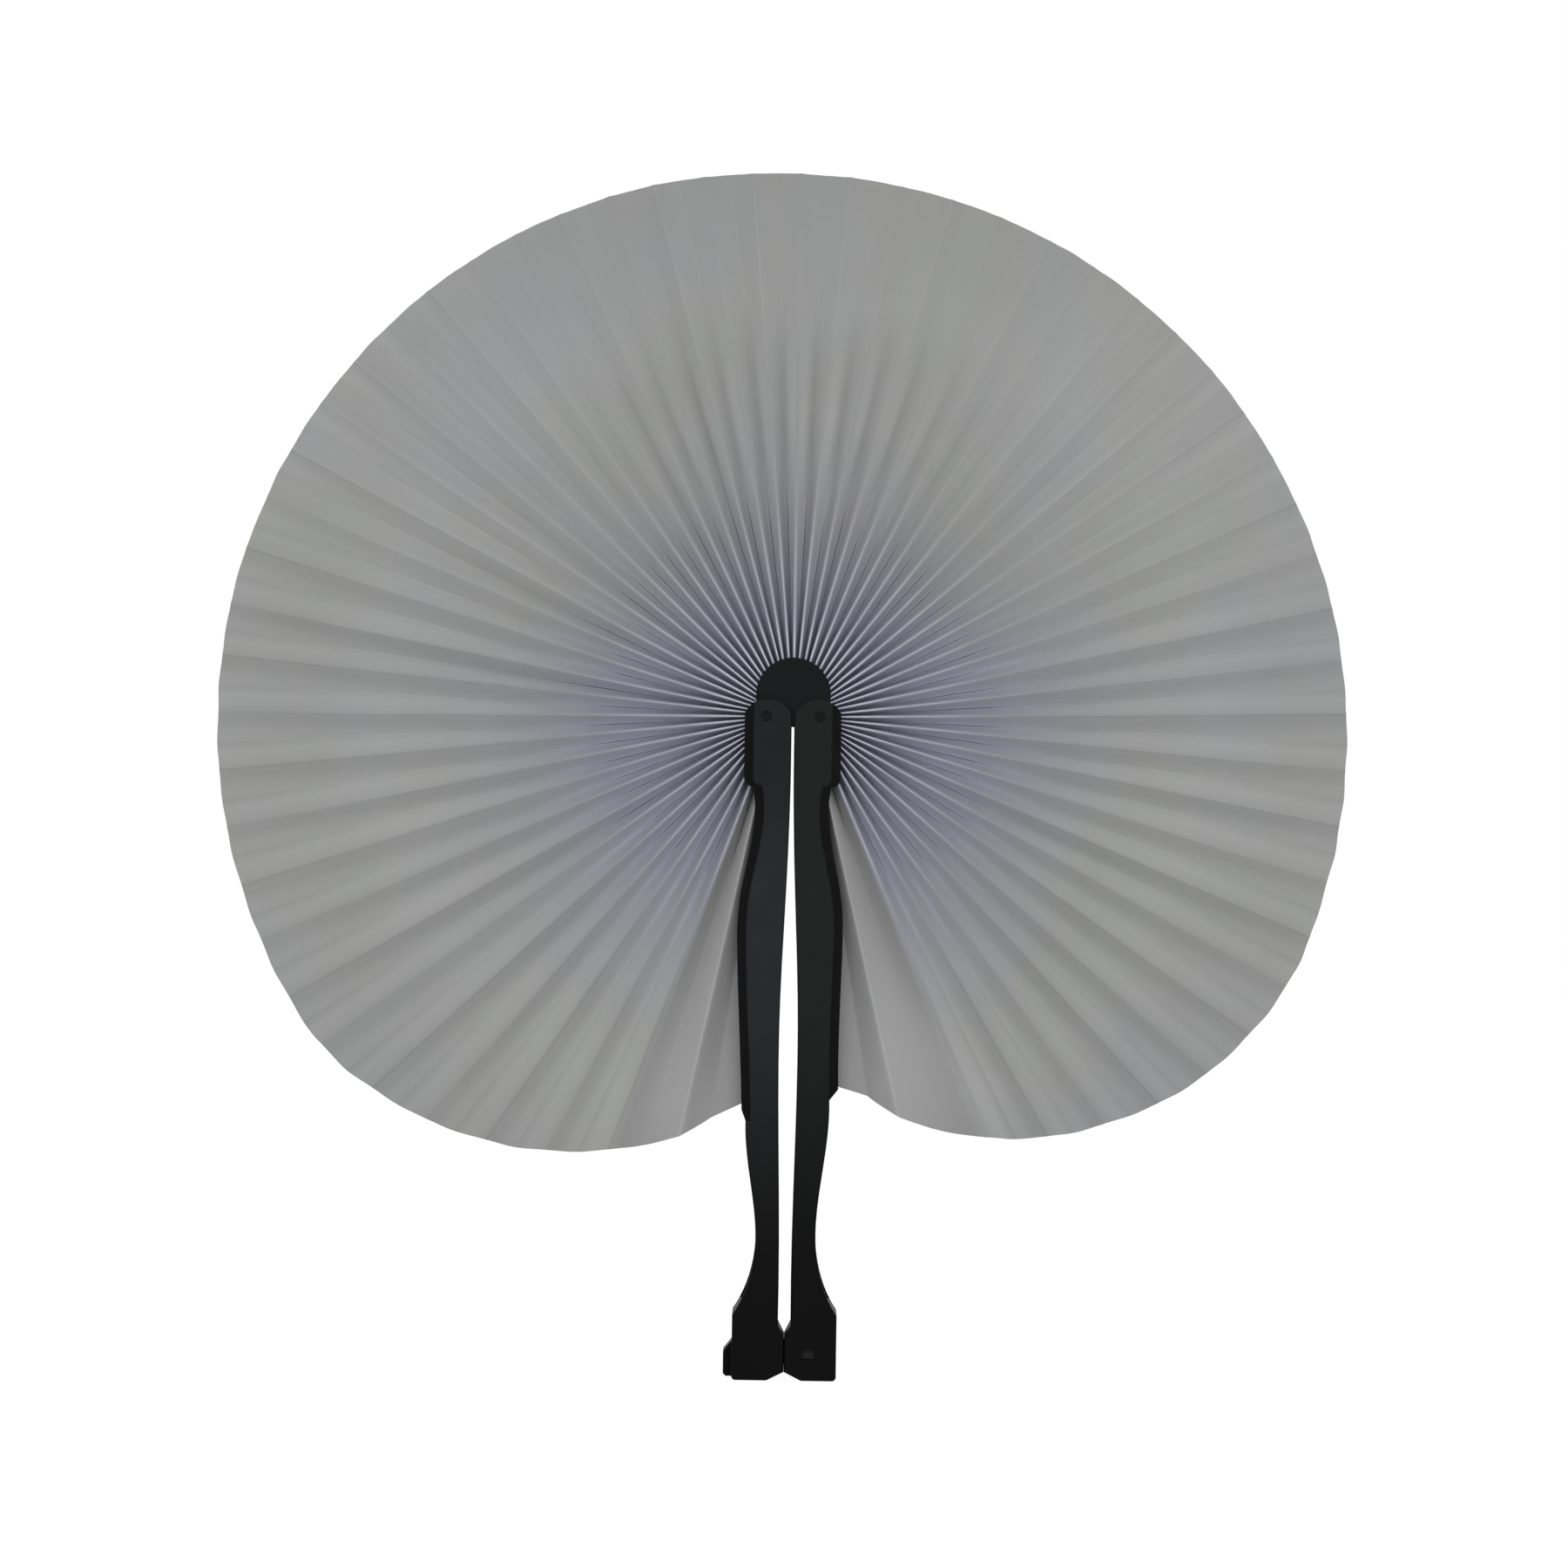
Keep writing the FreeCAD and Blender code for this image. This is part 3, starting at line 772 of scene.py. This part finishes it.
def end_light(leaf):
    """The share of the light that is left on the panels at the leaf's two ends, beside the arms."""
    shade = leaf.ending.fade(*END_SHADE_SPAN, *END_SHADE) * (1 - leaf.pleated)
    shade = shade * leaf.out(*END_SHADE_RIM_START, 1.0, END_SHADE_RIM_SHARE)
    return (1 - shade) * leaf.ending.fade(*PAST_LAST_CREST, 1.0, PAST_LAST_CREST_LIGHT)


def paper_finish():
    """Uncoated paper, cloudy and slightly grained.

    Light that goes from panel to panel and through the paper evens out the pleats, most of all where they
    are deep. It is painted into the colour, with the other painted light and shade of the pleats.
    """
    finish = Finish(bpy.data.materials.new("leaf_paper"))
    leaf = Leaf(finish)
    clouds = finish.noise(leaf.place, *PAPER_CLOUDS)
    fibres = finish.noise(leaf.place, *PAPER_FIBRES)
    grain = finish.noise(leaf.place, *PAPER_GRAIN)
    # Painted light and shade of the pleats, of whole parts of the leaf and of its end panels
    pleats = (passed_light(leaf) + valley_light(leaf) - crest_shade(leaf)) * leaf.pleated
    light = (1 + pleats - broad_shade(leaf)) * end_light(leaf)
    light = light * (PAPER_LEVEL + clouds * PAPER_CLOUD_LIGHT + fibres * PAPER_FIBRE_LIGHT)
    # Painted light and shade across each pleat, on top of the paper's colour
    colour = finish.times(paper_colour(finish, leaf), painted_fold_light(finish, leaf))
    steepness = leaf.out(*SHADED_STEEPNESS_END, SHADED_STEEPNESS, 1 - leaf.crown * CROWN_FLATNESS)
    bump = {
        "Strength": 0.12,
        "Distance": 0.05 * MM,
        "Height": grain + clouds,
        "Normal": finish.flattened(steepness),
    }
    sockets = {
        "Base Color": finish.tint(colour, light * TONE_RANGE),
        "Roughness": 0.86 + fibres * 0.1,
        "Normal": finish.add("Bump", inputs=bump),
        "Specular IOR Level": 0.25,
    }
    return finish.surface(finish.add("BsdfPrincipled", inputs=sockets))


def below(front, span):
    """The two depths that lie a span of millimetres below a front face."""
    return [front - distance * MM for distance in span]


def millimetres(span):
    """A span of millimetres, in metres."""
    return [distance * MM for distance in span]


def plastic_finish(name, face, front, lug_shade=1.0, foot_shade=1.0, tongue=None):
    """Black moulded plastic: satin on the front faces, worn by hands, and duller in the recesses.

    The recesses have painted shade, and the front edges a patchy painted highlight. An arm has painted shade
    at its lug and more at its foot. A latch tongue, the only part of its arm at x > 0, has a paler painted
    highlight.
    """
    finish = Finish(bpy.data.materials.new(name))
    place = finish.place()
    x, y, z = finish.parts(place)
    depth = y.math("ABSOLUTE")
    clouds = finish.noise(place, *PLASTIC_CLOUDS)
    scuffs = finish.noise(place, *PLASTIC_SCUFFS)
    grain = finish.noise(place, *PLASTIC_GRAIN)
    # Painted shade: what lies back from the front faces takes the darker recess black
    raised = depth.fade(*below(front, FACE_START))
    # A patchy painted highlight along the front edges
    edge = depth.fade(*below(front, EDGE_START)) * depth.fade(*below(front, EDGE_END), 1.0, 0.0)
    edge_highlight = edge * scuffs.fade(*EDGE_HIGHLIGHT_SCUFFS) * EDGE_HIGHLIGHT_SHARE
    colour = finish.mix(edge_highlight, finish.mix(raised, RECESS_SHADE_BLACK, face), EDGE_HIGHLIGHT_GREY)
    # Painted shade: darker at the lug and much darker at the foot
    foot = z.fade(*millimetres(FOOT_END), foot_shade, 1.0)
    lug = z.fade(*millimetres(LUG_START), 1.0, lug_shade)
    light = PLASTIC_LEVEL + clouds * PLASTIC_CLOUD_LIGHT + scuffs * PLASTIC_SCUFF_LIGHT
    colour = finish.tint(colour, light * foot * lug)
    # A painted highlight on the latch tongue
    if tongue:
        colour = finish.mix(x.fade(*millimetres(TONGUE_START)), colour, tongue)
    bump = {"Strength": 0.1, "Distance": 0.03 * MM, "Height": grain + scuffs}
    sockets = {
        "Base Color": colour,
        "Roughness": 0.42 + scuffs * 0.16 - raised * 0.06,
        "Normal": finish.add("Bump", inputs=bump),
        "Specular IOR Level": 0.05,
    }
    return finish.surface(finish.add("BsdfPrincipled", inputs=sockets))


def dress_plastic():
    arm_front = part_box("left_arm")[1].y
    plate_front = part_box("hub_back_plate")[1].y
    left = plastic_finish("left_arm_plastic", LEFT_ARM_LIT_BLACK, arm_front, *LEFT_ARM_SHADES, TONGUE_HIGHLIGHT_GREY)
    right = plastic_finish("right_arm_plastic", RIGHT_ARM_BLACK, arm_front, *RIGHT_ARM_SHADES)
    hub = plastic_finish("hub_plastic", HUB_BLACK, plate_front)
    pin = plastic_finish("pin_plastic", PIN_BLACK, arm_front)
    for node, finish in (
        ("left_arm", left),
        ("right_arm", right),
        ("hub_front_plate", hub),
        ("hub_back_plate", hub),
        ("left_pivot_pin", pin),
        ("right_pivot_pin", pin),
    ):
        mesh = frame["nodes"][node].data
        mesh.materials.clear()
        mesh.materials.append(finish)


def thread_finish():
    """Waxed black thread with pale dust in the lay of its plies."""
    finish = Finish(bpy.data.materials.new("binding_thread"))
    dust = finish.noise(finish.place(), *THREAD_DUST)
    bump = {"Strength": 0.3, "Distance": 0.03 * MM, "Height": dust}
    sockets = {
        "Base Color": finish.mix(dust.fade(*THREAD_DUST_CONTRAST), THREAD_BLACK, THREAD_DUSTY),
        "Roughness": 0.7 + dust * 0.2,
        "Normal": finish.add("Bump", inputs=bump),
        "Specular IOR Level": 0.2,
    }
    return finish.surface(finish.add("BsdfPrincipled", inputs=sockets))


# Stage
def seen(finish):
    """1 where a thing is looked at, also in gloss or glass, and 0 where it only lights others."""
    kinds = ("Is Camera Ray", "Is Glossy Ray", "Is Transmission Ray")
    camera, gloss, glass = [finish.add("LightPath", out=kind) for kind in kinds]
    return (camera + gloss + glass).math("MINIMUM", 1.0)


def add_floor(low):
    """A pale floor that looks white and keeps a faint shadow."""
    finish = Finish(bpy.data.materials.new("floor"))
    pale = finish.add("BsdfDiffuse", inputs={"Color": grey(FLOOR_PALE)})
    white = finish.add("Emission", inputs={"Color": grey(1.0), "Strength": FLOOR_WHITE})
    finish.surface(finish.add("MixShader", inputs={0: seen(finish) * FLOOR_WHITE_SHARE, 1: pale, 2: white}))
    floor = bmesh.new()
    bmesh.ops.create_grid(floor, x_segments=1, y_segments=1, size=FLOOR_HALF_SIZE)
    bmesh.ops.translate(floor, verts=floor.verts, vec=(0, 0, low))
    plane = new_object("floor", floor)
    plane.data.materials.append(finish.owner)


def add_world(ambient):
    """Even light from all sides, in front of a white background."""
    world = bpy.data.worlds.new("room")
    bpy.context.scene.world = world
    finish = Finish(world)
    strength = seen(finish) * (1 - ambient) + ambient
    background = finish.add("Background", inputs={"Color": grey(1.0), "Strength": strength})
    finish.node("OutputWorld", inputs={"Surface": background})


def add_sun(name, strength, azimuth, height, softness):
    """A soft lamp whose light comes from an azimuth, 0 in front, and a height above the horizon."""
    lamp = bpy.data.lights.new(name, "SUN")
    lamp.energy = strength * math.pi
    lamp.angle = math.radians(softness)
    sun = bpy.data.objects.new(name, lamp)
    turn = math.radians(azimuth)
    lift = math.radians(height)
    to_sun = Vector((math.sin(turn) * math.cos(lift), -math.cos(turn) * math.cos(lift), math.sin(lift)))
    sun.rotation_euler = (-to_sun).to_track_quat("-Z", "Y").to_euler()
    bpy.context.scene.collection.objects.link(sun)


def add_camera():
    lens = bpy.data.cameras.new("camera")
    lens.lens = LENS
    lens.sensor_width = SENSOR
    camera = bpy.data.objects.new("camera", lens)
    distance = FRAME_WIDTH * LENS / SENSOR
    place = HUB + Vector((FRAME_CENTRE[0], -distance, FRAME_CENTRE[1])) * MM
    level = Matrix.Rotation(math.radians(90), 4, "X")
    roll = Matrix.Rotation(math.radians(FAN_TILT), 4, "Z")
    camera.matrix_world = Matrix.Translation(place) @ level @ roll
    bpy.context.scene.collection.objects.link(camera)
    bpy.context.scene.camera = camera


bpy.context.scene.view_settings.view_transform = "Standard"
dress_leaf()
dress_plastic()
add_floor(cad_box[0].z)
add_world(ROOM_LIGHT)
add_sun("key", *KEY_SUN)
add_sun("back", *BACK_SUN)
add_camera()
